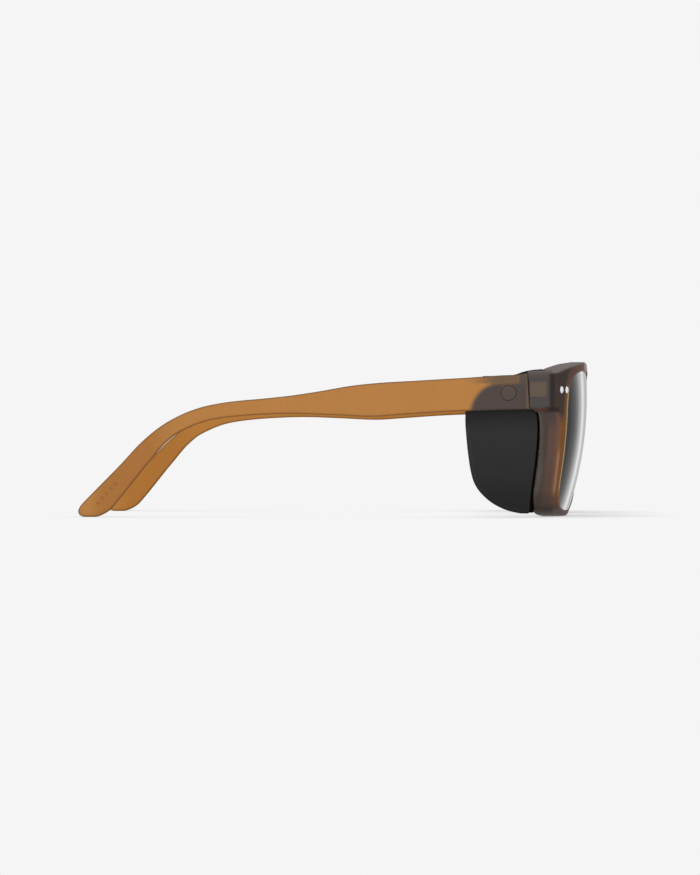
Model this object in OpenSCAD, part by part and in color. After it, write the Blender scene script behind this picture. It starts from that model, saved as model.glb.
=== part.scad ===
// Glacier glasses: wrapped front, two tinted lenses, two folding temples,
// two soft side shields held on press studs, barrel hinges with screws.
// Millimetres. +Z up, the front faces -Y, the wearer's right is -X,
// the ground is z = 0 and the origin is the middle of the footprint.
// Paired pieces are drawn on the right (-X) and mirrored to the left.

/* [Front] */
// Half of the width over the end pieces
half_width = 73.4; // [70:0.1:77]
// Height of the middle of the brow above the ground
brow_height = 45.6; // [43:0.1:48]
// Radius of the front's outer face
front_radius = 98; // [92:0.5:110]
// Radius of the front's rear face
rear_radius = 92.8; // [88:0.1:110]
// Depth of the front at the bridge
bridge_depth = 6.25; // [5.5:0.05:7]
// Diameter of a corner pin
pin_diameter = 2.0; // [1.6:0.1:2.4]

/* [Lenses] */
// Radius of the lens's outer face
lens_radius = 106; // [100:0.5:115]
// Thickness of a lens
lens_thickness = 2.0; // [1.6:0.1:2.4]
// Width of the lip that covers the lens's edge
lens_lip = 0.8; // [0.5:0.05:1.2]

/* [Temples] */
// From the hinge line to the tip
temple_length = 130.4; // [122:0.2:138]
// Thickness at the hinge
temple_thickness = 4.0; // [3.6:0.1:4.4]
// Thickness at the tip
tip_thickness = 3.6; // [3:0.1:4.2]
// How far the tip stands inward of the hinge end
toe_in = 9.3; // [6:0.1:11]
// Gap between the temple and the end piece
fold_gap = 0.3; // [0.25:0.05:0.6]

/* [Hinges] */
// Distance of the hinge axis from the middle plane
hinge_x = 68.5; // [68.2:0.05:68.8]
// Radius of a knuckle
knuckle_radius = 1.35; // [1.2:0.05:1.45]
// Height of one knuckle
knuckle_height = 1.0; // [0.9:0.02:1.04]
// Radius of the screw's shank
screw_radius = 0.70; // [0.6:0.01:0.72]
// Radius of the bores in the knuckles
bore_radius = 0.75; // [0.7:0.01:0.8]

/* [Shields] */
// Thickness of the shield's wall
shield_thickness = 1.0; // [0.8:0.05:1.0]
// Width of the raised border
bead_width = 1.2; // [0.8:0.05:1.6]
// Height of the raised border
bead_height = 0.28; // [0.1:0.02:0.3]
// Diameter of the stud's flush cap
cap_diameter = 4.35; // [4:0.05:5]
// How much narrower the left shield is at its rear edge
left_slim = 1.4; // [0:0.1:2]

/* [Hidden] */
$fn = 72;

// The outlines are drawn at the default sizes and scaled to the chosen ones
width_scale = half_width / 73.4;
height_scale = brow_height / 45.6;
temple_scale = temple_length / 130.4;

// Names ending in _f are forward coordinates; y_at turns one into y
hinge_f = 29.8;   // hinge line
front_f = 48.7;   // foremost point of the front
lens_f = 48.1;    // foremost point of a lens
rear_f = front_f - bridge_depth;
tip_reach = 130.2 * temple_scale;   // hinge line to the rearmost point
middle_f = (front_f + hinge_f - tip_reach) / 2;
function y_at(f) = middle_f - f;
hinge_y = y_at(hinge_f);

inner_x = hinge_x + 0.8;    // inner face of the end piece and the temple at the hinge
shield_x = hinge_x + 0.4;   // outer face of the shield
shield_inner_x = shield_x - shield_thickness;

// ---- Curves ----

// Catmull-Rom curves: one point is added midway between each two neighbours
function midway(before, start, end, after) = (9 * (start + end) - before - after) / 16;
function closed_curve(points) = let (n = len(points)) [
    for (i = [0 : n - 1])
        each [points[i], midway(points[(i + n - 1) % n], points[i],
            points[(i + 1) % n], points[(i + 2) % n])]];
function open_curve(points) = let (last = len(points) - 1) [
    for (i = [0 : last - 1])
        each [points[i], midway(points[max(i - 1, 0)], points[i],
            points[i + 1], points[min(i + 2, last)])],
    points[last]];

// Points moved sideways, to the left of the direction of travel
function left_normal(from, to) = let (along = to - from) [-along[1], along[0]] / norm(along);
function offset_closed(points, distance) = let (n = len(points)) [
    for (i = [0 : n - 1])
        points[i] + distance * left_normal(points[(i + n - 1) % n], points[(i + 1) % n])];
function offset_open(points, distance) = let (last = len(points) - 1) [
    for (i = [0 : last])
        points[i] + distance * left_normal(points[max(i - 1, 0)], points[min(i + 1, last)])];

function reversed(points) = [for (i = [len(points) - 1 : -1 : 0]) points[i]];
function front_scaled(points) = [for (p = points) [p[0] * width_scale, p[1] * height_scale]];

// ---- Solids; a span is a pair [lowest, highest] ----

// front-view outline (x, height) carried along y
module along_y(outline, span_f)
    translate([0, y_at(span_f[0]), 0])
        rotate([90, 0, 0])
            linear_extrude(span_f[1] - span_f[0])
                polygon(outline);

// side-view outline (forward, height) carried along x
module along_x(outline, span_x)
    translate([span_x[0], 0, 0])
        rotate([90, 0, 90])
            linear_extrude(span_x[1] - span_x[0])
                polygon([for (p = outline) [y_at(p[0]), p[1]]]);

module brick(span_x, span_f, span_z)
    translate([span_x[0], y_at(span_f[1]), span_z[0]])
        cube([span_x[1] - span_x[0], span_f[1] - span_f[0], span_z[1] - span_z[0]]);

// cylinder on the hinge axis
module post(radius, span_z)
    translate([-hinge_x, hinge_y, span_z[0]])
        cylinder(r = radius, h = span_z[1] - span_z[0]);

// sphere whose foremost point is at f
module ball(x, f, radius)
    translate([x, y_at(f - radius), face_z])
        sphere(radius, $fn = 180);

module left() mirror([1, 0, 0]) children();

// ---- Front ----

wrap_x = 28;       // the front is straight between -wrap_x and wrap_x
face_z = 35.4;     // height of the foremost points of the front and the lenses
rear_z = 29.5;     // height where the rear face changes its upright radius
rear_low = 70;     // upright radius of the rear face below rear_z
rear_high = 200;   // and above it
front_span = [20, 60];   // forward span that clears the whole front

// Half of the front as (x, height), from the brow's middle round to the bridge
brow_edge = open_curve([[0, 45.6], [-14, 45.6], [-29, 45.5], [-40.5, 45.3], [-50.4, 44.7],
    [-56.7, 44.1], [-63.1, 43.3], [-68.4, 42.3], [-72.3, 41.65]]);
side_edge = [[-73.4, 40.8], [-73.4, 36.5], [-73.35, 32.4]];
rim_edge = open_curve([[-72.5, 31.25], [-71, 30.75], [-69.7, 29.7], [-68.9, 27.2],
    [-68.35, 23.4], [-67.6, 19.2], [-66.7, 14.9], [-65.1, 10.4], [-62.9, 5.7], [-60.0, 2.6],
    [-56.0, 0.95], [-50, 0.25], [-43, 0], [-34, 0], [-26.5, 0.7], [-19, 2.7], [-13.5, 6.3],
    [-9.9, 11], [-7.8, 16.5], [-6.7, 22.3], [-6, 27.3], [-4.3, 31], [-1.8, 32.6], [0, 32.9]]);
half_front = [for (p = front_scaled(concat(brow_edge, side_edge, rim_edge)))
    [p[0], max(p[1], 0)]];
front_outline = concat(half_front,
    [for (i = [len(half_front) - 2 : -1 : 1]) [-half_front[i][0], half_front[i][1]]]);

// the rear face's section, from its axis outwards
module rear_section() {
    intersection() {
        translate([rear_radius - rear_high, 0]) circle(rear_high, $fn = 180);
        square([rear_radius + 1, 50]);
    }
    intersection() {
        translate([rear_radius - rear_low, 0]) circle(rear_low, $fn = 180);
        translate([0, -50]) square([rear_radius + 1, 50]);
    }
}

// wrapped part on the side of x, from x = +-wrap_x outwards
module front_end(x)
    difference() {
        intersection() {
            along_y(front_outline, front_span);
            brick(x < 0 ? [-90, -wrap_x] : [wrap_x, 90], front_span, [-5, 60]);
            ball(x, front_f, front_radius);
        }
        translate([x, y_at(rear_f - rear_radius), rear_z])
            rotate_extrude($fn = 180) rear_section();
    }

module front_middle() {
    bar_x = wrap_x + 5;
    cut_x = wrap_x + 6;
    difference() {
        intersection() {
            along_y(front_outline, front_span);
            brick([-wrap_x, wrap_x], front_span, [-5, 60]);
            translate([-bar_x, y_at(front_f - front_radius), face_z])
                rotate([0, 90, 0])
                    cylinder(r = front_radius, h = 2 * bar_x, $fn = 180);
        }
        translate([-cut_x, y_at(rear_f - rear_radius), rear_z])
            rotate([90, 0, 90])
                linear_extrude(2 * cut_x)
                    mirror([1, 0]) rear_section();
    }
}

// The parting between end piece and temple leans back at the top
lean = 3;
module parting(shift)
    translate([0, hinge_y - 0.05 + shift, 36.3])
        rotate([-lean, 0, 0])
            children();

module end_block()
    intersection() {
        along_y(front_outline, [20, 38]);
        brick([-80, -inner_x], [20, 37], [31.3, 50]);
        parting(-fold_gap / 2)
            translate([-100, -30, -30]) cube([60, 30, 60]);
    }

// everything cut from the right half of the front
module half_cuts() {
    room_z = 31.6;
    along_y(lens_open, front_span);
    lens_body(lens_lip + lens_gap, lens_gap);
    // room for the hinge and for the shield's upper fin
    brick([-inner_x, -61.5], [20, 32.6], [room_z, 50]);
    intersection() {
        post(4.95, [room_z, 50]);
        brick([-inner_x, -61], [29, 37], [31, 51]);
    }
    knuckle_room();
    // seats of the leaf's plate and flange, and the slot for its webs
    brick([leaf_x - leaf_gap, -67], [31.2, front_plate_f[1] + leaf_gap], barrel_z(0.02));
    brick(flange_x(leaf_gap), [30.1, front_flange_f[1] + leaf_gap], flange_z(leaf_gap));
    brick([-69.25, -67], [29, 32], barrel_z(0.25));
    for (x = pin_places)
        pin_pose(x) cylinder(r = pin_diameter / 2 + 0.01, h = 5);
}

module front_frame()
    color("#7a5238")
        difference() {
            union() {
                front_end(-wrap_x);
                front_middle();
                front_end(wrap_x);
                end_block();
                left() end_block();
                pad_seat();
                left() pad_seat();
            }
            half_cuts();
            left() half_cuts();
        }

// ---- Lenses ----

lens_x = 26.5;     // distance of the lens's foremost point from the middle plane
lens_gap = 0.04;   // play of the lens in its groove

// Visible edge of the right lens as (x, height), clockwise from the front,
// from the outer top corner
lens_open = closed_curve(front_scaled([[-58.6, 40.7], [-53.4, 41.9], [-46.4, 42.5], [-39, 42.3],
    [-31.5, 41.6], [-24, 40.4], [-17.4, 38.2], [-12.6, 34.6], [-10.1, 29.6], [-9.6, 23.8],
    [-10.6, 17.4], [-13.3, 11.4], [-17.8, 6.7], [-24.2, 3.6], [-31.8, 2.3], [-39.6, 1.9],
    [-47, 2.05], [-53.4, 3.1], [-57.8, 5.5], [-60.6, 9.4], [-62.2, 14.3], [-63.4, 19.9],
    [-64.3, 26.4], [-64.5, 33], [-63, 38]]));

// lens reaching margin past its visible edge, thicker by gap on each face
module lens_body(margin, gap) {
    back_shift = lens_thickness + gap;
    difference() {
        intersection() {
            along_y(offset_closed(lens_open, margin), [30, 55]);
            ball(-lens_x, lens_f + gap, lens_radius + gap);
        }
        ball(-lens_x, lens_f - back_shift, lens_radius - back_shift);
    }
}
module lens_right() color("#3b3e42") lens_body(lens_lip, 0);
module lens_left() color("#3b3e42") left() lens_body(lens_lip, 0);

// ---- Corner pins ----

pin_places = [69.65, 66.1];   // distances from the middle plane
pin_depth = 1.5;              // foot of a pin below the front's outer radius
pin_straight = 1.56;
pin_chamfer = 0.16;

// foot of a pin, pointing square out of the wrapped face
module pin_pose(x)
    translate([-wrap_x, y_at(front_f - front_radius), 36.8])
        rotate([0, 0, -asin((x - wrap_x) / front_radius)])
            translate([0, -(front_radius - pin_depth), 0])
                rotate([90, 0, 0])
                    children();

module corner_pins() {
    radius = pin_diameter / 2;
    for (x = pin_places)
        pin_pose(x) {
            cylinder(r = radius, h = pin_straight);
            translate([0, 0, pin_straight])
                cylinder(r1 = radius, r2 = radius - pin_chamfer, h = pin_chamfer);
        }
}
module corner_pins_right() color("#d8d8d8") corner_pins();
module corner_pins_left() color("#d8d8d8") left() corner_pins();

// ---- Nose pads ----

// Pad seen square on: across, up
pad_outline = closed_curve([[0, 6.6], [2.6, 5.2], [3.7, 1.6], [3.6, -2.4], [2.3, -5.4],
    [0, -6.6], [-2.3, -5.4], [-3.6, -2.4], [-3.7, 1.6], [-2.6, 5.2]]);

module pad_pose()
    translate([-9.6, y_at(38.6), 19.5])
        rotate([0, 0, 52])
            rotate([0, 8, 0])
                children();

// cone on the front that carries the pad
module pad_seat()
    pad_pose()
        rotate([0, -90, 0])
            cylinder(r1 = 2.2, r2 = 3.2, h = 5);

module nose_pad()
    difference() {
        pad_pose()
            intersection() {
                translate([-0.4, 0, 0])
                    rotate([90, 0, 90])
                        linear_extrude(4) polygon(pad_outline);
                translate([-15.4, 0, 0]) sphere(18, $fn = 120);
                translate([19.6, 0, 0]) sphere(20, $fn = 120);
            }
        pad_seat();
    }
module nose_pad_right() color("#5a4030") nose_pad();
module nose_pad_left() color("#5a4030") left() nose_pad();

// ---- Temples ----

// Side view as (distance behind the hinge line, height): top edge to the tip, then back
temple_top = open_curve([[0, 41.6], [3, 41.1], [8.2, 40.9], [16.8, 40.3], [25.5, 39.8],
    [34.1, 39.3], [42.8, 38.8], [51.4, 37.9], [60.1, 36.4], [68.8, 35.1], [77.5, 34.2],
    [83.3, 33.7], [89.1, 32.95], [94.9, 31.7], [100.7, 29.5], [106.5, 26.2], [112.3, 21.4],
    [118.1, 15.2], [123.8, 9.3], [127.9, 4.95], [129.3, 3.35], [130.1, 2.0]]);
temple_foot = open_curve([[130.2, 1.4], [129.8, 0.55], [128.8, 0.04], [127.4, 0], [126.1, 0],
    [124.9, 0.1], [123.6, 0.55], [122.2, 1.3], [120.7, 2.45], [118.1, 5.5], [115.2, 9.1],
    [112.3, 12.8], [109.4, 16.3], [106.5, 19.85], [103.6, 22.65], [100.7, 24.65], [94.9, 27.2],
    [89.1, 28.5], [80.4, 29.4], [68.8, 29.85], [57.2, 29.5], [45.7, 29], [37, 29.5],
    [25.5, 30.3], [14, 30.8], [0, 31.2]]);
temple_side = [for (p = concat(temple_top, temple_foot))
    [hinge_f - p[0] * temple_scale, max(p[1], 0)]];

// outer face and thickness at a distance behind the hinge line
function temple_outer_x(distance) =
    -(half_width - 0.1) + toe_in * pow(max(distance, 0) / temple_length, 1.6);
function thickness_at(distance) =
    temple_thickness + (tip_thickness - temple_thickness) * max(distance, 0) / temple_length;

// Row of grip dimples near the tip, stepping back and down
dimple_start = 119.6 * temple_scale;
dimple_top = 9.5;
dimple_step = 1.25;
dimple_drop = 1.42;

module temple()
    difference() {
        intersection() {
            along_x(temple_side, [-80, -50]);
            // plan view: outer face back to the tip, inner face forward again
            translate([0, 0, -5])
                linear_extrude(60)
                    polygon(concat(
                        [for (d = [-2 : 6.65 : 136]) [temple_outer_x(d), hinge_y + d]],
                        [for (d = [136 : -6.9 : -2])
                            [temple_outer_x(d) + thickness_at(d), hinge_y + d]]));
            parting(fold_gap / 2)
                translate([-100, 0, -60]) cube([60, 150, 90]);
        }
        knuckle_room();
        // seats of the leaf's plate and flange, and the slot for its webs
        brick([leaf_x - leaf_gap, -67],
            [temple_plate_f[0] - leaf_gap, temple_plate_f[1] + leaf_gap], barrel_z(0.02));
        brick(flange_x(leaf_gap), [temple_flange_f - leaf_gap, 29.5], flange_z(leaf_gap));
        brick([-69.3, -67], [27.3, 30], barrel_z(0.25));
        // hole and counterbore of the stud
        stud_pose() cylinder(r = stud_radius + 0.02, h = 12);
        stud_pose()
            translate([0, 0, -3])
                cylinder(r = cap_diameter / 2 + 0.05, h = 3 + cap_thickness + 0.05);
        for (i = [0 : 4])
            let (distance = dimple_start + i * dimple_step)
                translate([0, hinge_y + distance, dimple_top - i * dimple_drop])
                    rotate([0, 90, 0])
                        translate([0, 0, temple_outer_x(distance) - 1])
                            cylinder(r = 0.45, h = 1.35, $fn = 32);
    }
module temple_right() color("#b47f49") temple();
module temple_left() color("#b47f49") left() temple();

// ---- Hinges ----

barrel_foot = 34.9;             // foot of the lowest knuckle
barrel_room = 5;                // height allowed for the five knuckles
knuckle_gap = 0.04;             // between neighbouring knuckles
leaf_gap = 0.03;                // between a leaf and its seat
leaf_x = -71.6;                 // outer side of both leaves
front_plate_f = [31.25, 32.2];
front_flange_f = [30.3, 34.9];
temple_plate_f = [27.4, 28.3];
temple_flange_f = 26.4;         // rear end of the temple leaf's flange

// spans of the barrel and the flanges, widened by gap at both ends
function barrel_z(gap) = [barrel_foot - gap, barrel_foot + barrel_room + gap];
function flange_x(gap) = [leaf_x - gap, -70.8 + gap];
function flange_z(gap) = [35 - gap, 39 + gap];

module knuckle_room()
    post(knuckle_radius + 0.2, [barrel_foot - 0.25, barrel_foot + 6.1]);

// bored knuckles at the given places in the barrel, each with a web over web_f
module knuckles(places, web_f)
    for (i = places)
        let (z = barrel_foot + i * knuckle_height,
            span_z = [z + knuckle_gap / 2, z + knuckle_height - knuckle_gap / 2])
            difference() {
                union() {
                    post(knuckle_radius, span_z);
                    brick([-69.2, -67.8], web_f, span_z);
                }
                post(bore_radius, [z - 1, z + 2]);
            }

module front_leaf() {
    knuckles([0, 2, 4], [hinge_f, 31.6]);
    brick([leaf_x, -67.5], front_plate_f, [barrel_foot, barrel_foot + 5 * knuckle_height]);
    brick(flange_x(0), front_flange_f, flange_z(0));
}
module front_leaf_right() color("#c9a06a") front_leaf();
module front_leaf_left() color("#c9a06a") left() front_leaf();

module temple_leaf() {
    knuckles([1, 3], [28, hinge_f]);
    brick([leaf_x, -67.8], temple_plate_f, barrel_z(-0.5));
    brick(flange_x(0), [temple_flange_f, temple_plate_f[1]], flange_z(0));
}
module temple_leaf_right() color("#c9a06a") temple_leaf();
module temple_leaf_left() color("#c9a06a") left() temple_leaf();

// shank, head and driver slot
module hinge_screw()
    difference() {
        union() {
            post(screw_radius, barrel_z(0.1));
            post(1.15, [barrel_foot + 5.02, barrel_foot + 5.55]);
        }
        brick([-hinge_x - 2, -hinge_x + 2], [hinge_f - 0.15, hinge_f + 0.15],
            [barrel_foot + 5.3, barrel_foot + 6]);
    }
module hinge_screw_right() color("#bdbdbd") hinge_screw();
module hinge_screw_left() color("#bdbdbd") left() hinge_screw();

// ---- Shields ----

// Outline as (forward, height): top edge, step, front edge, then bottom and rear edge
shield_top = [[11.7, 31], [12.7, 31.9], [14, 33.3], [15.1, 35.1], [16.5, 36.9], [19.1, 38.8],
    [22.6, 39.3], [25.2, 38.9], [26.7, 37.4], [27, 35.6]];
shield_step = [[27.3, 34.3], [28.3, 33.6], [29.1, 33]];
shield_front = [[29.4, 31.2], [31, 30.95], [32.1, 30.2], [32.5, 28.4], [32.5, 23.4],
    [31.9, 16.4], [31.15, 10.9], [30.5, 5.6], [30.35, 2.6], [29.9, 1.05]];
shield_rear = [[27.5, 1.1], [24.6, 1.7], [21.7, 2.8], [18.8, 4.5], [16, 7.1], [14.2, 9.9],
    [13.2, 13.3], [12.5, 17.7], [12, 22.3], [11.65, 26.9], [11.65, 29.3]];

// rear points moved forward by slim, fading out at 24 forward
function slimmed(points, slim) = [for (p = points)
    [p[0] + slim * min(max((24 - p[0]) / 8, 0), 1), p[1]]];
function rear_edge(slim) = open_curve(slimmed(shield_rear, slim));
function shield_outline(slim) = concat(open_curve(slimmed(shield_top, slim)),
    open_curve(shield_step), open_curve(shield_front), rear_edge(slim));
// field inside the raised border, open at the front and the top
function shield_field(slim) = concat(
    [[28.4, 1.9], [29, -6], [60, -6], [60, 70], [0, 70], [0, 31]],
    reversed(offset_open(rear_edge(slim), -bead_width)));

// Upper fin: side view (forward, height) and cross-section (x, height)
fin_outline = [[15.6, 37], [26.6, 37], [27.2, 39.4], [28.2, 40.2], [30.45, 40.9],
    [30.6, 42.26], [33.85, 42.26], [34, 42.6], [33.8, 43.05], [31.25, 42.62], [29.8, 42.4],
    [28.06, 41.95], [26.6, 41.4], [24.8, 40.95], [17, 40.8], [15.8, 40.4]];
fin_section = concat([[-68.4, 38.7]],
    open_curve([[-67.5, 39.4], [-66.95, 40.6], [-66.85, 43.4]]),
    open_curve([[-66.3, 43.4], [-66.3, 40.3], [-66.8, 38.9], [-67.5, 38.1]]),
    [[-68.4, 37.5]]);
shield_span = [-75, -60];   // x span that clears the whole shield

// wall between two distances from the middle plane, bent very slightly
function bow(z) = pow(z - 34, 2) / 2000;
module wall(outline, outer, inner)
    intersection() {
        along_x(outline, shield_span);
        translate([0, 30, 0])
            rotate([90, 0, 0])
                linear_extrude(120)
                    polygon(concat(
                        [for (z = [-4 : 6 : 44]) [-outer + bow(z), z]],
                        [for (z = [44 : -6 : -4]) [-inner + bow(z), z]]));
    }

module shield(slim)
    difference() {
        union() {
            difference() {
                wall(shield_outline(slim), shield_x + bead_height, shield_inner_x);
                wall(shield_field(slim), shield_x + 3, shield_x);
            }
            intersection() {
                along_x(fin_outline, shield_span);
                translate([0, y_at(10), 0])
                    rotate([90, 0, 0])
                        linear_extrude(30) polygon(fin_section);
            }
        }
        // hole for the stud and seat of the socket
        stud_pose() cylinder(r = 1.6, h = 12);
        stud_pose()
            translate([0, 0, socket_depth - 0.2])
                cylinder(r = 2.7, h = 6);
    }
module shield_right() color("#2f2f2f") shield(0);
module shield_left() color("#2f2f2f") left() shield(left_slim);

// ---- Studs and sockets ----

stud_x = half_width - 0.18;               // outer face of the cap
socket_depth = stud_x - shield_inner_x;   // from there to the shield's inner face
stud_radius = 1.2;
cap_thickness = 0.8;

// middle of the cap's outer face, pointing inward
module stud_pose()
    translate([-stud_x, y_at(24.05), 35.85])
        rotate([0, 90, 0])
            children();

// profiles are (radius, depth)
module stud_socket()
    stud_pose()
        translate([0, 0, socket_depth - 0.18])
            rotate_extrude()
                polygon([[1.45, 0], [2.6, 0], [2.6, 0.6], [2.2, 1], [1.45, 1]]);
module stud_socket_right() color("#8f8f8f") stud_socket();
module stud_socket_left() color("#8f8f8f") left() stud_socket();

module shield_stud() {
    cap_radius = cap_diameter / 2;
    stud_pose()
        rotate_extrude()
            polygon([[0, 0], [cap_radius - 0.12, 0], [cap_radius, 0.12],
                [cap_radius, cap_thickness], [stud_radius, cap_thickness],
                [stud_radius, 4.5], [1.38, 4.8], [1.38, 5.5], [1, 5.95], [0, 5.95]]);
}
module shield_stud_right() color("#8a6f55") shield_stud();
module shield_stud_left() color("#8a6f55") left() shield_stud();

// ---- Nodes ----

front_frame();
lens_right();
lens_left();
temple_right();
temple_left();
shield_right();
shield_left();
front_leaf_right();
front_leaf_left();
temple_leaf_right();
temple_leaf_left();
hinge_screw_right();
hinge_screw_left();
shield_stud_right();
shield_stud_left();
stud_socket_right();
stud_socket_left();
nose_pad_right();
nose_pad_left();
corner_pins_right();
corner_pins_left();
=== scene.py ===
"""Glasses with side shields: front, lenses, nose pads, temples, shields and metal parts.

Shapes are worked out in millimetres as (x, fwd, z): x = 0 is the middle, the wearer's right
is -x, fwd points the way the wearer looks and z = 0 is the ground. In the scene
y = -(fwd + CENTRE), so the glasses look towards -Y. Fields are negative inside a shape.
"""

import math
from functools import reduce
from itertools import product

import bpy
import numpy as np
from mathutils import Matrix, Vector


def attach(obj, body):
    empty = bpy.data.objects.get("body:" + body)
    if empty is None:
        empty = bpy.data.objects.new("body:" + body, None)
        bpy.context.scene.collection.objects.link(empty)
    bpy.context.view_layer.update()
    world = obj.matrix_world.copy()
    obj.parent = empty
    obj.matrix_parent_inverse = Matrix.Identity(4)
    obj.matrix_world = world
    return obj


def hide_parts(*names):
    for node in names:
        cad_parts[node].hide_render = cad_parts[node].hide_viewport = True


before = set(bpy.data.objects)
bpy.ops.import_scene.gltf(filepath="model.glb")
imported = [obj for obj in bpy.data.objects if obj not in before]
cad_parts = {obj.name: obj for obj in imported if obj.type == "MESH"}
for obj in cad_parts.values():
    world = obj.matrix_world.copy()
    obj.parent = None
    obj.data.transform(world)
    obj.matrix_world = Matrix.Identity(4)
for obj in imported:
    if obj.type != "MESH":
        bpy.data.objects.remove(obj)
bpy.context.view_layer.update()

COARSE = 1.0  # factor on every grid cell

# ---- driving dimensions, mm ----------------------------------------------------------------
HINGE_X, HINGE_FWD = 68.5, 29.8
FACE_FWD = 48.7  # foremost point of the front
TEMPLE_REACH = 130.2  # from the hinge to the rear end
CENTRE = (TEMPLE_REACH - HINGE_FWD - FACE_FWD) / 2
LEAN = math.tan(math.radians(3))  # of the joint between front and temple
PIN_RADIUS, PIN_Z, PIN_HALF = 1.55, 37.825, 3.175  # hinge pin hole
STUD_FWD, STUD_Z = 24.05, 35.85  # shield stud

FLAT_HALF = 28  # half width of the front's straight middle
FACE_RADIUS, FACE_Z = 98, 35.4
REAR_FWD, REAR_RADIUS = 42.45, 92.8
REAR_BREAK_Z = 29.5  # the rear face curves more tightly below this

TEMPLE_X, TEMPLE_THICK = 73.3, 4.0  # outer side and thickness at the hinge
TEMPLE_BEND, TEMPLE_THINNING = 9.3, 0.4  # inward bend and lost thickness at the rear end
TEMPLE_LENGTH = 130.4  # over which the bend and the thinning run
BLOCK_X = TEMPLE_X - TEMPLE_THICK  # inner side of the front's end blocks

LENS_X, LENS_FWD, LENS_RADIUS, LENS_HALF = -26.5, 48.18, 105, 1
LENS_BITE = 0.78  # how far the lens reaches into the frame
PAD_X, PAD_FWD, PAD_Z = 9.6, 38.6, 19.5
SIDES = {"right": False, "left": True}  # is the piece mirrored


# ---- curves and distances ------------------------------------------------------------------
def spline(before, start, end, after, t):
    """Catmull-Rom point a share t of the way from start to end."""
    return 0.5 * (
        2 * start
        + (end - before) * t
        + (2 * before - 5 * start + 4 * end - after) * t * t
        + (3 * start - before - 3 * end + after) * t * t * t
    )


def open_curve(points, steps):
    pts = np.array(points, float)
    last = len(pts) - 1
    out = [
        spline(pts[max(i - 1, 0)], pts[i], pts[i + 1], pts[min(i + 2, last)], k / steps)
        for i in range(last)
        for k in range(steps)
    ]
    return np.array(out + [pts[-1]])


def closed_curve(points, steps):
    pts = np.array(points, float)
    count = len(pts)
    return np.array(
        [
            spline(pts[i - 1], pts[i], pts[(i + 1) % count], pts[(i + 2) % count], k / steps)
            for i in range(count)
            for k in range(steps)
        ]
    )


def length(*parts):
    return np.sqrt(sum(part * part for part in parts))


def segment_distance(segments, x, y):
    def squared(start, end):
        run_x, run_y = end - start
        off_x, off_y = x - start[0], y - start[1]
        t = np.clip((off_x * run_x + off_y * run_y) / (run_x * run_x + run_y * run_y), 0, 1)
        return (off_x - run_x * t) ** 2 + (off_y - run_y * t) ** 2

    return np.sqrt(reduce(np.minimum, (squared(*ends) for ends in segments)))


def outline_distance(points, x, y):
    """Signed distance to a closed outline, negative inside."""
    pairs = zip(points, np.roll(points, -1, 0))
    segments = [(start, end) for start, end in pairs if ((end - start) ** 2).sum() >= 1e-12]
    inside = False
    for start, end in segments:
        run_x, run_y = end - start
        if run_y != 0:
            left = x < run_x * (y - start[1]) / run_y + start[0]
            inside = inside ^ (((start[1] > y) != (end[1] > y)) & left)
    distance = segment_distance(segments, x, y)
    return np.where(inside, -distance, distance)


def meet(*fields):
    """Where all the fields overlap, with sharp edges."""
    return reduce(np.maximum, fields)


def overlap(one, two, radius):
    """Where two fields overlap, with the edge rounded."""
    corner = length(np.maximum(one + radius, 0), np.maximum(two + radius, 0))
    return np.minimum(np.maximum(one, two), -radius) + corner


def union(one, two, radius):
    """Two fields joined with a fillet."""
    corner = length(np.maximum(radius - one, 0), np.maximum(radius - two, 0))
    return np.maximum(np.minimum(one, two), radius) - corner


def rise(value, start, end):
    """0 up to start, 1 from end on, smooth between."""
    t = np.clip((value - start) / (end - start), 0, 1)
    return t * t * (3 - 2 * t)


def fall(value, start, end):
    return 1 - rise(value, start, end)


def span(value, start, full, fade, end):
    """1 between full and fade, 0 before start and after end."""
    return rise(value, start, full) * fall(value, fade, end)


# ---- outlines ------------------------------------------------------------------------------
# right half of the front, (x, z): along the brow, down the side, along the rim to the nose
BROW = open_curve(
    [
        [0, 45.6], [-14, 45.6], [-29, 45.5], [-40.5, 45.3], [-50.4, 44.7], [-56.7, 44.1],
        [-63.1, 43.3], [-68.4, 42.3], [-72.3, 41.65],
    ],
    4,
)
SIDE = np.array([[-73.1, 41.2], [-73.4, 40.8], [-73.4, 36.5], [-73.35, 32.4], [-73.1, 31.7]])
RIM = open_curve(
    [
        [-72.5, 31.25], [-71, 30.75], [-69.7, 29.7], [-68.9, 27.2], [-68.35, 23.4],
        [-67.6, 19.2], [-66.7, 14.9], [-65.1, 10.4], [-62.9, 5.7], [-60.0, 2.6],
        [-56.0, 0.95], [-50, 0.25], [-43, 0], [-34, 0], [-26.5, 0.7], [-19, 2.7],
        [-13.5, 6.3], [-9.9, 11], [-7.8, 16.5], [-6.7, 22.3], [-6, 27.3], [-4.3, 31],
        [-1.8, 32.6], [0, 32.9],
    ],
    4,
)
HALF = np.concatenate([BROW, SIDE, RIM])
HALF[:, 1] = np.maximum(HALF[:, 1], 0)
FRONT_OUTLINE = np.concatenate([HALF, HALF[-2:0:-1] * [-1, 1]])

# right lens opening, (x, z)
LENS_OPENING = closed_curve(
    [
        [-58.6, 40.7], [-53.4, 41.9], [-46.4, 42.5], [-39, 42.3], [-31.5, 41.6], [-24, 40.4],
        [-17.4, 38.2], [-12.6, 34.6], [-10.1, 29.6], [-9.6, 23.8], [-10.6, 17.4],
        [-13.3, 11.4], [-17.8, 6.7], [-24.2, 3.6], [-31.8, 2.3], [-39.6, 1.9], [-47, 2.05],
        [-53.4, 3.1], [-57.8, 5.5], [-60.6, 9.4], [-62.2, 14.3], [-63.4, 19.9],
        [-64.3, 26.4], [-64.5, 33], [-63, 38],
    ],
    5,
)

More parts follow.
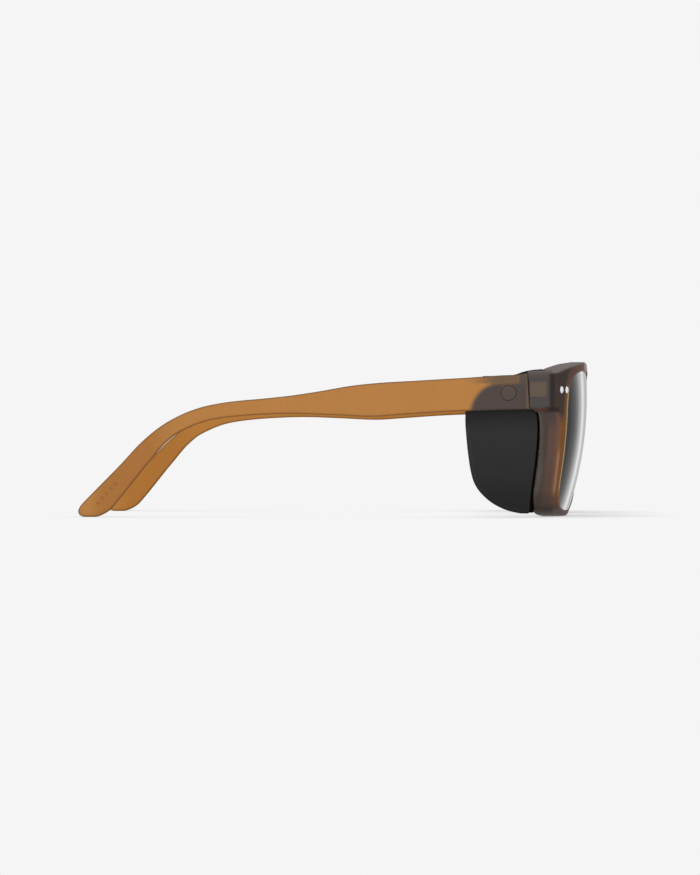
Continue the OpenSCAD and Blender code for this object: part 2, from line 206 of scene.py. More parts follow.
# temple from the side, (distance behind the hinge, z)
TEMPLE_TOP = open_curve(
    [
        [0, 41.6], [3, 41.1], [8.2, 40.9], [16.8, 40.3], [25.5, 39.8], [34.1, 39.3],
        [42.8, 38.8], [51.4, 37.9], [60.1, 36.4], [68.8, 35.1], [77.5, 34.2], [83.3, 33.7],
        [89.1, 32.95], [94.9, 31.7], [100.7, 29.5], [106.5, 26.2], [112.3, 21.4],
        [118.1, 15.2], [123.9, 9.35], [128.1, 5.1], [129.6, 3.5], [130.4, 2.2],
    ],
    4,
)
TEMPLE_FOOT = open_curve(
    [
        [130.5, 1.5], [130.1, 0.6], [129.0, 0.06], [127.4, 0], [126.1, 0], [124.9, 0.1],
        [123.6, 0.55], [122.2, 1.3], [120.7, 2.45], [118.1, 5.5], [115.2, 9.1],
        [112.3, 12.8], [109.4, 16.3], [106.5, 19.85], [103.6, 22.65], [100.7, 24.65],
        [94.9, 27.2], [89.1, 28.5], [80.4, 29.4], [68.8, 29.85], [57.2, 29.5], [45.7, 29],
        [37, 29.5], [25.5, 30.3], [14, 30.8], [0, 31.2],
    ],
    4,
)
TEMPLE = np.concatenate([[[-4, 42.1]], TEMPLE_TOP, TEMPLE_FOOT, [[-4, 31.3]]])
TEMPLE[:, 1] = np.maximum(TEMPLE[:, 1], 0)

# side shield, (fwd, z): top edge, notch below the fin, front edge, rear edge
SHIELD_TOP = [
    [11.7, 31], [12.7, 31.9], [14, 33.3], [15.1, 35.1], [16.5, 36.9], [19.1, 38.8],
    [22.6, 39.3], [25.2, 38.9], [26.7, 37.4], [27, 35.6],
]
SHIELD_NOTCH = open_curve([[27.3, 34.3], [28.3, 33.6], [29.1, 33]], 3)
SHIELD_FRONT = open_curve(
    [
        [29.4, 31.2], [31, 30.95], [32.1, 30.2], [32.5, 28.4], [32.5, 23.4], [31.9, 16.4],
        [31.15, 10.9], [30.5, 5.6], [30.35, 2.6], [29.9, 1.05],
    ],
    4,
)
SHIELD_REAR = [
    [27.5, 1.1], [24.6, 1.7], [21.7, 2.8], [18.8, 4.5], [16, 7.1], [14.2, 9.9],
    [13.2, 13.3], [12.5, 17.7], [12, 22.3], [11.65, 26.9], [11.65, 29.3],
]
SHIELD_SHIFT = {"right": 0.0, "left": 1.4}  # forward shift of the rear edge

# fin on top of the shield: side view (fwd, z) and section (x, z)
FIN = np.array(
    [
        [15.6, 37], [26.6, 37], [27.2, 39.4], [28.2, 39.9], [30.45, 40.3], [30.6, 42.34],
        [34.0, 42.34], [34.15, 42.55], [33.95, 42.82], [31.25, 42.62], [29.8, 42.4],
        [28.06, 41.95], [26.6, 41.4], [24.8, 40.95], [17, 40.8], [15.8, 40.4],
    ]
)
FIN_SECTION = np.concatenate(
    [
        [[-68.4, 38.7]],
        open_curve([[-67.5, 39.4], [-66.95, 40.6], [-66.85, 43.4]], 4),
        open_curve([[-66.3, 43.4], [-66.3, 40.3], [-66.8, 38.9], [-67.5, 38.1]], 4),
        [[-68.4, 37.5]],
    ]
)

# what shows dark through the temple, (fwd, z)
BEHIND = open_curve(
    [
        [12.9, 27], [13.3, 31.5], [14.6, 34.6], [16.9, 37.1], [20, 38.6], [23.5, 38.95],
        [27.2, 39.0],
    ],
    4,
)
BEHIND = np.concatenate([BEHIND, [[27.7, 39.5], [27.8, 44], [33, 44], [33, 27]]])

# nose pad, (width, height) in its own space
PAD = closed_curve(
    [
        [0, 6.6], [2.6, 5.2], [3.7, 1.6], [3.6, -2.4], [2.3, -5.4], [0, -6.6],
        [-2.3, -5.4], [-3.6, -2.4], [-3.7, 1.6], [-2.6, 5.2],
    ],
    5,
)


def shifted(points, shift):
    """Points moved forward, by the whole shift behind fwd = 16 and not at all from 24 on."""
    return [[fwd + shift * min(max((24 - fwd) / 8, 0), 1), z] for fwd, z in points]


def shield_edges(shift):
    """The shield's closed outline and its rear edge."""
    rear_edge = open_curve(shifted(SHIELD_REAR, shift), 5)
    top = open_curve(shifted(SHIELD_TOP, shift), 4)
    return np.concatenate([top, SHIELD_NOTCH, SHIELD_FRONT, rear_edge]), rear_edge


# ---- fields of the pieces ------------------------------------------------------------------
def face(x, fwd, z):
    """The outer face; it steps back round the nose and swells at the foot of the middle."""
    absx = np.abs(x)
    back = 0.3 * fall(absx, 19, 25) * fall(z, 38.3, 40.3)
    back = (back + 0.18 * fall(absx, 40, 58)) * rise(z, 7, 12)
    swell = 0.42 - 0.25 * fall(z, 1.5, 4.0)
    back = back - swell * fall(z, 4.5, 10) * fall(absx, 26, 36)
    beyond = np.maximum(absx - FLAT_HALF, 0)
    return length(beyond, fwd - (FACE_FWD - FACE_RADIUS), z - FACE_Z) - FACE_RADIUS + back


def rear(x, fwd, z):
    """The front's rear face."""
    curve = np.where(z < REAR_BREAK_Z, 70.0, 200.0)
    drop = np.sqrt(np.maximum(curve * curve - (z - REAR_BREAK_Z) ** 2, 1))
    radius = REAR_RADIUS - curve + drop
    return radius - length(np.maximum(np.abs(x) - FLAT_HALF, 0), fwd - (REAR_FWD - REAR_RADIUS))


def joint(fwd, z):
    """Place of a leaning joint face that passes through fwd at z = 36.3."""
    return fwd - LEAN * (z - 36.3)


def hinge_radius(x, fwd):
    return length(np.abs(x) - HINGE_X, fwd - HINGE_FWD)


def stud_radius(fwd, z):
    return length(fwd - STUD_FWD, z - STUD_Z)


def pin_hole(x, fwd, z):
    return meet(hinge_radius(x, fwd) - PIN_RADIUS, np.abs(z - PIN_Z) - PIN_HALF)


def turned(one, two, degrees):
    cos, sin = math.cos(math.radians(degrees)), math.sin(math.radians(degrees))
    return one * cos + two * sin, -one * sin + two * cos


def pad_space(x, fwd, z):
    """A nose pad's own space: along its thickness, its width and its height."""
    depth, width = turned(-np.abs(x) + PAD_X, -(fwd - PAD_FWD), 52)
    depth, height = turned(depth, z - PAD_Z, -8)
    return depth, width, height


def front_field(x, fwd, z):
    absx = np.abs(x)
    outline = outline_distance(FRONT_OUTLINE, -absx, z)
    opening = outline_distance(LENS_OPENING, -absx, z)
    body = overlap(outline, face(x, fwd, z), 0.45 + 0.45 * rise(z, 29, 33))
    rear_round = 0.35 + 1.6 * rise(z, 36, 42) * fall(absx, 42, 54)
    body = overlap(body, rear(x, fwd, z), rear_round)
    body = overlap(body, -opening, 0.45)
    # end blocks that meet the temples
    ease = 0.26 * fall(absx, 69.6, 71.6) * rise(z, 41, 41.5)
    block = overlap(outline - ease, joint(29.94, z) - fwd, 0.12)
    block = overlap(block, meet(BLOCK_X - absx, 31.35 - z), 0.1)
    body = union(body, meet(block, fwd - 37), 0.25)
    # room for the hinge
    slot = meet(absx - BLOCK_X, 61.5 - absx, 31.6 - z, fwd - 32.6)
    well = meet(hinge_radius(x, fwd) - 4.95, absx - BLOCK_X, 61 - absx, 31.0 - z)
    body = overlap(body, -np.minimum(slot, well), 0.2)
    body = meet(body, -pin_hole(x, fwd, z))
    # soft conical seats for the nose pads
    depth, width, height = pad_space(x, fwd, z)
    seat = meet(length(width, height) - (2.2 - 0.2 * depth), depth, -5 - depth)
    return union(body, seat, 1.0)


def temple_outer(behind):
    """x of the temple's outer side at a distance behind the hinge."""
    return -TEMPLE_X + TEMPLE_BEND * (np.maximum(behind, 0) / TEMPLE_LENGTH) ** 1.6


def temple_field(x, fwd, z):
    behind = HINGE_FWD - fwd
    half = (TEMPLE_THICK - TEMPLE_THINNING * np.maximum(behind, 0) / TEMPLE_LENGTH) / 2
    across = np.abs(x - temple_outer(behind) - half) - half
    body = overlap(outline_distance(TEMPLE, behind, z), across, 0.85)
    body = overlap(body, fwd - joint(29.74, z), 0.12)
    body = meet(body, -pin_hole(x, fwd, z))
    # round recess for the stud, in the outer side
    body = meet(body, -meet(stud_radius(fwd, z) - 2.215, x + 72.42))
    # slanting row of dimples near the rear end
    for i in range(5):
        dot, dot_z = 119.6 + 1.25 * i, 9.5 - 1.42 * i
        away = length(behind - dot, z - dot_z, x - temple_outer(dot) + 0.3)
        body = meet(body, 0.62 - away)
    return body


def shield_field(shift):
    outline, rear_edge = shield_edges(shift)

    def field(x, fwd, z):
        side = outline_distance(outline, fwd, z)
        bow = (z - 34) ** 2 / 2000
        # raised border along the rear edge
        away = segment_distance(list(zip(rear_edge[:-1], rear_edge[1:])), fwd, z)
        raised = 0.28 * fall(away, 1.0, 1.35) * fall(z, 27.5, 28.7)
        body = overlap(side, meet((-68.9 + bow - raised) - x, x - (-67.9 + bow)), 0.3)
        # thin inner lip that closes the slit towards the rim
        lip = meet(side - 0.65 - 0.55 * fall(z, 2, 8), np.abs(x + 67.6 - bow) - 0.32)
        body = np.minimum(body, meet(lip, 29.5 - fwd, z - 30.3, 1.3 - z))
        fin = overlap(outline_distance(FIN, fwd, z), outline_distance(FIN_SECTION, x, z), 0.12)
        body = union(body, fin, 0.2)
        stud = stud_radius(fwd, z)
        stud_seat = meet(stud - 2.7, -68.08 - x)
        return meet(body, 1.6 - stud, -stud_seat)

    return field


def lens_field(x, fwd, z):
    side = outline_distance(LENS_OPENING, x, z) - LENS_BITE
    radius = length(x - LENS_X, fwd - (LENS_FWD - (LENS_RADIUS + LENS_HALF)), z - FACE_Z)
    return overlap(side, np.abs(radius - LENS_RADIUS) - LENS_HALF, 0.12)


def pad_field(x, fwd, z):
    depth, width, height = pad_space(x, fwd, z)
    domed = length(depth + 15.4, width, height) - 18
    backed = meet(length(depth - 19.6, width, height) - 20, -0.4 - depth)
    body = overlap(outline_distance(PAD, width, height), domed, 0.7)
    return overlap(body, backed, 0.4)


# ---- meshes --------------------------------------------------------------------------------
UNIT = np.eye(3, dtype=int)


def surface_net(values, low, cell):
    """Points and quads of the surface where the grid's values cross zero."""
    inside = values < 0
    nx, ny, nz = (size - 1 for size in inside.shape)
    count = np.zeros((nx, ny, nz), np.uint8)
    for i, j, k in product((0, 1), repeat=3):
        count += inside[i : nx + i, j : ny + j, k : nz + k]
    active = (count > 0) & (count < 8)
    cells = np.argwhere(active)
    index = -np.ones(active.shape, np.int64)
    index[active] = np.arange(len(cells))

    # a cell's point is the mean of the crossings on its twelve edges
    total = np.zeros((len(cells), 3))
    hits = np.zeros(len(cells))
    for axis in range(3):
        along = UNIT[axis]
        side_a, side_b = [UNIT[k] for k in range(3) if k != axis]
        for i, j in product((0, 1), repeat=2):
            start = cells + i * side_a + j * side_b
            value0 = values[tuple(start.T)]
            value1 = values[tuple((start + along).T)]
            hit = (value0 < 0) != (value1 < 0)
            t = np.where(hit, value0 / np.where(hit, value0 - value1, 1), 0)
            crossing = i * side_a + j * side_b + t[:, None] * along
            total += np.where(hit[:, None], crossing, 0)
            hits += hit
    points = (cells + total / hits[:, None]) * cell + low

    # a quad crosses each grid edge whose ends lie on different sides
    quads = []
    for axis in range(3):
        side_a, side_b = UNIT[(axis + 1) % 3], UNIT[(axis + 2) % 3]
        near, far = [slice(1, -1)] * 3, [slice(1, -1)] * 3
        near[axis], far[axis] = slice(0, -1), slice(1, None)
        near_in, far_in = inside[tuple(near)], inside[tuple(far)]
        for flip, mask in ((False, near_in & ~far_in), (True, ~near_in & far_in)):
            at = np.argwhere(mask) + 1 - UNIT[axis]
            around = [at - side_a - side_b, at - side_b, at, at - side_a]
            found = np.stack([index[tuple(corner.T)] for corner in around], 1)
            quads.append(found[:, ::-1] if flip else found)
    return points, np.concatenate(quads)


def gradient(field, points, step=0.02):
    value = field(*points.T)
    ahead = np.stack([field(*(points + step * axis).T) for axis in UNIT], 1)
    return value, (ahead - value[:, None]) / step


def sculpt(field, low, high, cell):
    """Points, quads and normals of a field's surface inside a box."""
    cell = cell * COARSE
    low, high = np.array(low, float), np.array(high, float)
    size = np.ceil((high - low) / cell).astype(int) + 1
    grid = np.ix_(*(low[k] + cell * np.arange(size[k]) for k in range(3)))
    values = np.broadcast_to(field(*grid), tuple(size))
    points, quads = surface_net(values, low, cell)
    for _ in range(2):  # pull the points onto the exact surface
        value, slope = gradient(field, points)
        steep = np.maximum((slope * slope).sum(1), 0.2)
        move = -(value / steep)[:, None] * slope
        far = np.linalg.norm(move, axis=1)
        move *= (np.minimum(far, 0.6 * cell) / np.maximum(far, 1e-9))[:, None]
        points = points + move
    slope = gradient(field, points)[1]
    normals = slope / np.maximum(np.linalg.norm(slope, axis=1), 1e-9)[:, None]
    return points, quads, normals


def paint(obj, material):
    obj.data.materials.clear()
    obj.data.materials.append(material)


def build(name, surface, material, ride, replaces, attributes=None, mirror=False):
    points, quads, normals = surface
    if mirror:
        points, normals = points * [-1, 1, 1], normals * [-1, 1, 1]
    else:
        quads = quads[:, ::-1]  # the forward axis is -y, which turns the faces over
    places = np.stack([points[:, 0], -(points[:, 1] + CENTRE), points[:, 2]], 1) / 1000
    mesh = bpy.data.meshes.new(name)
    mesh.from_pydata(places.tolist(), [], quads.tolist())
    mesh.update()
    mesh.polygons.foreach_set("use_smooth", np.ones(len(mesh.polygons), bool))
    mesh.normals_split_custom_set_from_vertices((normals * [1, -1, 1]).tolist())
    for key, values in (attributes or {}).items():
        values = np.asarray(values, np.float32)
        if values.ndim == 2:
            rgba = np.concatenate([values, np.ones((len(values), 1), np.float32)], 1)
            layer = mesh.attributes.new(key, "FLOAT_COLOR", "POINT")
            layer.data.foreach_set("color", rgba.reshape(-1))
        else:
            layer = mesh.attributes.new(key, "FLOAT", "POINT")
            layer.data.foreach_set("value", values)
    obj = bpy.data.objects.new(name, mesh)
    bpy.context.scene.collection.objects.link(obj)
    paint(obj, material)
    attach(obj, ride)
    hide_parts(replaces)


# ---- shader nodes --------------------------------------------------------------------------
def srgb(*colour):
    """Linear RGBA of a 0-255 sRGB colour."""
    shares = [c / 255 for c in colour]
    return (*(c / 12.92 if c <= 0.04045 else ((c + 0.055) / 1.055) ** 2.4 for c in shares), 1)


def grey(value):
    return (value, value, value, 1)


class Nodes:
    """Node tree of a material or world; inputs take a value or another node's output."""

    def __init__(self, owner):
        self.owner = owner
        owner.use_nodes = True
        self.tree = owner.node_tree
        self.tree.nodes.clear()

    def node(self, kind, inputs=None, **settings):
        made = self.tree.nodes.new(kind)
        for key, value in settings.items():
            setattr(made, key, value)
        for key, value in (inputs or {}).items():
            if isinstance(value, bpy.types.NodeSocket):
                self.tree.links.new(value, made.inputs[key])
            else:
                made.inputs[key].default_value = value
        return made

    def attribute(self, name, output="Fac"):
        return self.node("ShaderNodeAttribute", attribute_name=name).outputs[output]

    def mix(self, fac, one, two, mode="MIX"):
        inputs = {0: fac, 6: one, 7: two}
        return self.node("ShaderNodeMix", inputs, data_type="RGBA", blend_type=mode).outputs[2]

    def math(self, operation, one, two=0.0, clamp=False):
        inputs = {0: one, 1: two}
        made = self.node("ShaderNodeMath", inputs, operation=operation, use_clamp=clamp)
        return made.outputs[0]

    def axes(self, output="Object"):
        place = self.node("ShaderNodeTexCoord").outputs[output]
        return self.node("ShaderNodeSeparateXYZ", {0: place}).outputs

    def height(self, top):
        """Height as a share of top, in mm."""
        return self.math("MULTIPLY", self.axes()[2], 1000 / top, clamp=True)

    def noise(self, scale, detail):
        place = self.node("ShaderNodeTexCoord").outputs["Object"]
        inputs = {"Vector": place, "Scale": scale, "Detail": detail, "Roughness": 0.5}
        return self.node("ShaderNodeTexNoise", inputs).outputs["Fac"]

    def ramp(self, fac, stops):
        made = self.node("ShaderNodeValToRGB", {0: fac})
        elements = made.color_ramp.elements
        while len(elements) < len(stops):
            elements.new(0.5)
        for element, (position, colour) in zip(elements, stops):
            element.position = position
            element.color = colour
        return made.outputs[0]

    def mottle(self, noise, low, high):
        return self.ramp(noise, [(0.3, low), (0.7, high)])

    def finish(self, shader):
        self.node("ShaderNodeOutputMaterial", {"Surface": shader})
        return self.owner

    def principled(self, **inputs):
        inputs = {key.replace("_", " "): value for key, value in inputs.items()}
        return self.finish(self.node("ShaderNodeBsdfPrincipled", inputs).outputs[0])

    def grained(self, base, noise, rough, spread, bump, **inputs):
        """Finish whose roughness and relief follow one fine noise."""
        roughness = self.math("ADD", self.math("MULTIPLY", noise, spread), rough)
        relief = {"Strength": bump, "Distance": 0.0001, "Height": noise}
        normal = self.node("ShaderNodeBump", relief).outputs[0]
        return self.principled(Base_Color=base, Roughness=roughness, Normal=normal, **inputs)


def new_material(name):
    return Nodes(bpy.data.materials.new(name))


# ---- materials -----------------------------------------------------------------------------
def toned_plastic(name, rough, specular):
    """Cloudy translucent-looking plastic, coloured by the points' tone, which holds the plastic's
    colour together with painted highlights and painted shade.
    """
    mat = new_material(name)
    tone = mat.attribute("tone", "Color")
    cloud = mat.mottle(
        mat.noise(scale=90, detail=4), (0.975, 0.975, 0.975, 1), (1.025, 1.022, 1.02, 1)
    )
    grain = mat.mottle(mat.noise(scale=900, detail=3), grey(0.98), grey(1.02))
    base = mat.mix(1.0, mat.mix(1.0, tone, cloud, "MULTIPLY"), grain, "MULTIPLY")
    fine = mat.noise(scale=2600, detail=2)
    return mat.grained(base, fine, rough, spread=0.12, bump=0.10, Specular_IOR_Level=specular)


def shield_rubber():
    """Dark rubber with painted shade that darkens it towards the bottom and turns it black and
    dull in the slit, and a painted highlight along the bead.
    """
    mat = new_material("shield_rubber")
    fine = mat.noise(scale=1800, detail=3)
    soft = mat.noise(scale=60, detail=3)
    # painted shade, darker towards the bottom: (share of 40 mm height, grey)
    greys = [(0.0, 0.0075), (0.13, 0.009), (0.3, 0.0155), (0.62, 0.0205), (0.72, 0.017)]
    shade = mat.ramp(mat.height(40), [(at, (v, v, v + 0.0002, 1)) for at, v in greys])
    base = mat.mix(1.0, shade, mat.mottle(soft, grey(0.95), grey(1.05)), "MULTIPLY")
    # painted shade: near black and without sheen in the slit by the rim
    base = mat.mix(mat.attribute("slit_shade"), base, (0.0050, 0.0030, 0.0024, 1))
    # painted highlight along the bead
    bead_highlight = mat.mix(1.0, base, grey(1.5), "MULTIPLY")
    base = mat.mix(mat.attribute("bead_highlight"), base, bead_highlight)
    open_part = mat.math("SUBTRACT", 1.0, mat.attribute("slit_shade"))
    specular = mat.math("MULTIPLY", open_part, 0.18)
    return mat.grained(
        base, fine, rough=0.55, spread=0.15, bump=0.15, Specular_IOR_Level=specular
    )


def lens_tint():
    mat = new_material("lens_tint")
    height = mat.height(46)
    tint = mat.ramp(height, [(0.0, srgb(30, 32, 33)), (1.0, srgb(22, 24, 26))])
    clouds = mat.math("MULTIPLY", mat.noise(scale=40, detail=2), 0.3)
    tint = mat.mix(clouds, tint, srgb(24, 25, 26))
    # the coating mirrors more towards the top: (share of height, coat IOR)
    coat = [
        (0.087, 1.5), (0.26, 1.75), (0.478, 1.9), (0.652, 2.0), (0.761, 2.15), (0.85, 2.4),
        (0.92, 2.5),
    ]
    grade = mat.ramp(height, [(at, grey(ior / 3)) for at, ior in coat])
    return mat.principled(
        Base_Color=tint,
        Roughness=0.03,
        IOR=1.6,
        Specular_IOR_Level=0.5,
        Coat_Weight=1.0,
        Coat_IOR=mat.math("MULTIPLY", grade, 3.0),
        Coat_Roughness=0.02,
    )


def metal(name, tone, rough):
    mat = new_material(name)
    noise = mat.noise(scale=900, detail=3)
    base = mat.mottle(noise, (*(c * 0.9 for c in tone), 1), (*tone, 1))
    return mat.grained(base, noise, rough, spread=0.15, bump=0.1, Metallic=1.0)


def plain(name, low, high, rough, specular):
    mat = new_material(name)
    fine = mat.noise(scale=1500, detail=3)
    base = mat.mottle(mat.noise(scale=120, detail=4), low, high)
    return mat.grained(base, fine, rough, spread=0.12, bump=0.12, Specular_IOR_Level=specular)


TEMPLE_PLASTIC = toned_plastic("temple_plastic", rough=0.50, specular=0.07)
FRONT_PLASTIC = toned_plastic("front_plastic", rough=0.48, specular=0.14)
SHIELD_RUBBER = shield_rubber()
LENS_TINT = lens_tint()
PIN_METAL = plain(
    "pin_metal", (0.84, 0.84, 0.845, 1), (0.90, 0.90, 0.905, 1), rough=0.30, specular=0.5
)
HINGE_METAL = metal("hinge_metal", tone=(0.20, 0.125, 0.075), rough=0.34)
SCREW_METAL = metal("screw_metal", tone=(0.66, 0.66, 0.67), rough=0.22)
SOCKET_METAL = metal("socket_metal", tone=(0.30, 0.30, 0.31), rough=0.30)
STUD_CAP = plain("stud_cap", srgb(78, 68, 63), srgb(84, 73, 68), rough=0.50, specular=0.14)
PAD_RUBBER = plain("pad_rubber", srgb(78, 60, 48), srgb(90, 68, 54), rough=0.50, specular=0.25)


# ---- pieces --------------------------------------------------------------------------------
def tones(count, base, *layers):
    """One colour per point: a base with (mask, sRGB colour) layers laid over it."""
    out = np.broadcast_to(np.array(srgb(*base)[:3]), (count, 3)).copy()
    for mask, colour in layers:
        mask = np.clip(mask, 0, 1)[:, None]
        out = out * (1 - mask) + np.array(srgb(*colour)[:3]) * mask
    return np.maximum(out - 0.010, 0.004)


def front_colour_and_painted_light(points, normals):
    absx, fwd, z = np.abs(points[:, 0]), points[:, 1], points[:, 2]
    up = normals[:, 2]
    out = outline_distance(FRONT_OUTLINE, -absx, z)
    gap = outline_distance(LENS_OPENING, -absx, z)  # grows away from the opening
    skin = face(*points.T)
    back = rear(*points.T)
    share = np.clip(back / np.minimum(skin + back, -1e-3), 0, 1)  # 0 rear face, 1 outer face
    edge = rise(out, -1.2, -0.5)
    wall = fall(z, 29.5, 32) * edge  # edge wall below the end blocks
    outer = rise(skin, -0.8, -0.1)
    upper = rise(z, 35.5, 37.5)
    off_opening = rise(gap, 0.9, 1.4)
    inner_line = rise(skin, -1.3, -0.7)
    block = rise(absx, 68.9, 69.3)
    return tones(
        len(points),
        (70, 58, 54),
        # edge wall, from the rear face to the outer face; the last of these is a painted highlight
        # along the outer edge
        (wall * fall(share, 0.0, 0.4), (88, 82, 78)),
        (wall * fall(share, 0.05, 0.5) * span(z, 4, 8, 12, 19), (99, 94, 89)),
        (wall * span(share, 0.25, 0.5, 0.6, 0.9), (93, 74, 67)),
        (wall * rise(share, 0.6, 0.88) * fall(skin, -0.7, -0.2), (108, 80, 67)),
        (wall * rise(share, 0.9, 0.97) * span(z, 6, 10, 23, 28), (140, 101, 76)),
        # painted shade on the edge wall just under the end blocks
        (
            edge * (1 - outer) * span(z, 25, 29, 30.5, 31.5) * span(share, 0.15, 0.3, 0.7, 0.85),
            (80, 69, 67),
        ),
        # brow, then the outer face round the opening and at the sides
        (upper * rise(fwd, 37, 40), (65, 57, 54)),
        (outer * fall(gap, 1.8, 4.2) * upper, (96, 72, 60)),
        (outer * fall(z, 26.5, 31) * rise(absx, 48, 60), (118, 80, 50)),
        (outer * fall(gap, 1.8, 3.8) * (1 - upper), (118, 80, 50)),
        # foot of the rims: painted shade that darkens towards the ground, then a painted sheen on
        # the outer face beside the nose
        (0.6 * fall(z, 4.5, 8.0) * off_opening, (74, 63, 57)),
        (fall(z, 1.8, 4.2) * off_opening, (51, 42, 38)),
        (outer * fall(z, 1.6, 3.6), (88, 76, 72)),
        (outer * fall(z, 7.5, 10) * fall(absx, 22, 31), (114, 101, 94)),
        # top of the brow: painted light on the upward faces
        (rise(up, 0.6, 0.95) * rise(z, 38, 41), (104, 95, 91)),
        # end blocks: side, top, painted shadow in front, patch on the side, then below them a
        # painted shadow and a reddish painted glow
        (block * fall(fwd, 36.2, 36.7) * rise(z, 30.5, 31.5), (78, 74, 73)),
        (block * fall(fwd, 35.5, 36.4) * rise(z, 40.0, 41.0), (86, 76, 73)),
        (
            rise(absx, 67.5, 68.6) * span(fwd, 35.4, 36.3, 37.0, 37.8) * span(z, 31, 32, 41, 42),
            (52, 46, 45),
        ),
        (
            span(fwd, 30.1, 30.4, 34.8, 35.1) * span(z, 34.7, 35.0, 38.9, 39.2)
            * rise(absx, 72.2, 73),
            (99, 86, 74),
        ),
        (
            rise(absx, 66.5, 68) * span(z, 30.0, 31.0, 31.5, 32.0) * span(fwd, 33, 36, 38.2, 39.2),
            (54, 44, 41),
        ),
        (
            0.7 * rise(absx, 68, 70) * span(fwd, 31.5, 33.0, 34.6, 36.0)
            * span(z, 30.5, 31.0, 31.2, 31.6),
            (104, 58, 40),
        ),
        # painted highlight lines: opening's edge, side edge, opening's top edge
        (
            inner_line * fall(gap, 0.95, 1.45) * (absx > 34) * span(z, 5.5, 9.5, 35.5, 39),
            (170, 142, 100),
        ),
        (
            0.75 * rise(out, -0.75, -0.3) * rise(skin, -0.75, -0.3) * span(z, 5.5, 8.5, 17, 21)
            * (absx > 56),
            (150, 113, 84),
        ),
        (inner_line * fall(gap, 0.3, 0.7) * (absx > 20) * rise(z, 35.5, 39), (116, 97, 82)),
        # foremost part of the brow and a painted highlight line over it
        (rise(fwd, 45.2, 46.4) * span(z, 36, 38, 41.5, 43), (73, 56, 52)),
        (0.88 * rise(fwd, 46.4, 47.4) * rise(z, 41.8, 43.2) * fall(up, 0.6, 0.9), (166, 151, 145)),
    )


def temple_colour_and_painted_light(points, normals, base, low, bend):
    x, fwd, z = points.T
    up = normals[:, 2]
    behind = HINGE_FWD - fwd
    side = outline_distance(TEMPLE, behind, z)
    edge = rise(side, -0.6, -0.2) * fall(np.abs(up), 0.3, 0.8)
    dark = fall(outline_distance(BEHIND, fwd, z), -0.9, 1.0)
    over = rise(z, 38.2, 38.9)
    stud_ring = fall(np.abs(stud_radius(fwd, z) - 2.3), 0.15, 0.35)
    stud_ring = stud_ring * rise(z, 37.1, 37.7) * fall(x, -72.9, -72.6)
    return tones(
        len(points),
        base,
        (0.8 * span(behind, 100, 112, 123, 128), bend),
        # painted shade: dark lines along the edges
        (0.75 * edge, (118, 76, 40)),
        # painted shade on the downward faces along the bottom
        (0.85 * rise(side, -0.5, -0.1) * rise(-up, 0.3, 0.8), low),
        (dark, (83, 74, 72)),
        (span(fwd, 11, 21, 26.6, 27.4) * over, (114, 93, 73)),
        (rise(fwd, 26.6, 27.4) * over, (90, 79, 75)),
        (0.35 * edge * dark, (122, 84, 54)),
        # painted shade on the upward faces along the top
        (0.85 * rise(side, -0.45, -0.1) * rise(up, 0.3, 0.8), (98, 80, 62)),
        # painted shade towards the joint with the front
        (0.5 * rise(fwd, 29.0, 29.3), (126, 98, 77)),
        # painted shade in the upper rim of the stud's recess
        (0.6 * stud_ring, (124, 90, 64)),
    )


# sRGB of the body, the painted shade along the bottom line and the bend near the rear end
TEMPLE_COLOURS = {
    "right": ((180, 126, 73), (122, 78, 42), (164, 111, 62)),
    "left": ((181, 124, 64), (140, 88, 42), (172, 114, 57)),
}


def build_front():
    surface = sculpt(front_field, low=(-74.2, 28.6, -0.9), high=(74.2, 50.2, 46.6), cell=0.34)
    tone = {"tone": front_colour_and_painted_light(surface[0], surface[2])}
    build("front_moulding", surface, FRONT_PLASTIC, "front", "front_frame", tone)


def build_temples():
    surface = sculpt(
        temple_field, low=(-74.2, -101.6, -0.9), high=(-58.9, 30.6, 42.2), cell=0.28
    )
    for name, mirror in SIDES.items():
        tone = {"tone": temple_colour_and_painted_light(surface[0], surface[2], *TEMPLE_COLOURS[name])}
        build(
            "temple_moulding_" + name, surface, TEMPLE_PLASTIC,
            "arm_" + name, "temple_" + name, tone, mirror,
        )


def build_shields():
    for name, mirror in SIDES.items():
        shift = SHIELD_SHIFT[name]
        surface = sculpt(
            shield_field(shift), low=(-70.2, 11.0, 0.3), high=(-65.3, 34.2, 43.9), cell=0.2
        )
        x, fwd, z = surface[0].T
        outline, rear_edge = shield_edges(shift)
        # painted shade mask for the slit between the shield's front edge and the rim
        slit_shade = rise(outline_distance(outline, fwd, z), -0.3, 0.02)
        slit_shade = slit_shade * rise(fwd, 28.5, 30.2) * fall(z, 31, 33)
        away = segment_distance(list(zip(rear_edge[:-1], rear_edge[1:])), fwd, z)
        # painted highlight mask along the bead
        bead_highlight = span(away, 0.75, 0.95, 1.1, 1.35) * fall(z, 27.5, 30.5) * (x < -68)
        build(
            "shield_moulding_" + name, surface, SHIELD_RUBBER,
            "guard_" + name, "shield_" + name, {"slit_shade": slit_shade, "bead_highlight": bead_highlight}, mirror,
        )


def build_pair(prefix, surface, material, replaces):
    """A right and a left piece that ride on the front."""
    for name, mirror in SIDES.items():
        build(
            prefix + name, surface, material, "front", replaces + name, mirror=mirror
        )


def finish_metal():
    """Paint and soften the visible pieces kept from the CAD."""
    materials = {
        "corner_pins": PIN_METAL,
        "hinge_screw": SCREW_METAL,
        "stud_socket": SOCKET_METAL,
        "shield_stud": STUD_CAP,
    }
    for name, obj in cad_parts.items():
        if obj.hide_render:
            continue
        matches = [mat for prefix, mat in materials.items() if name.startswith(prefix)]
        paint(obj, matches[0] if matches else HINGE_METAL)
        bevel = obj.modifiers.new("edges", "BEVEL")
        bevel.width = 0.00007
        bevel.segments = 2
        bevel.limit_method = "ANGLE"
        bevel.angle_limit = math.radians(40)
        bevel.harden_normals = False


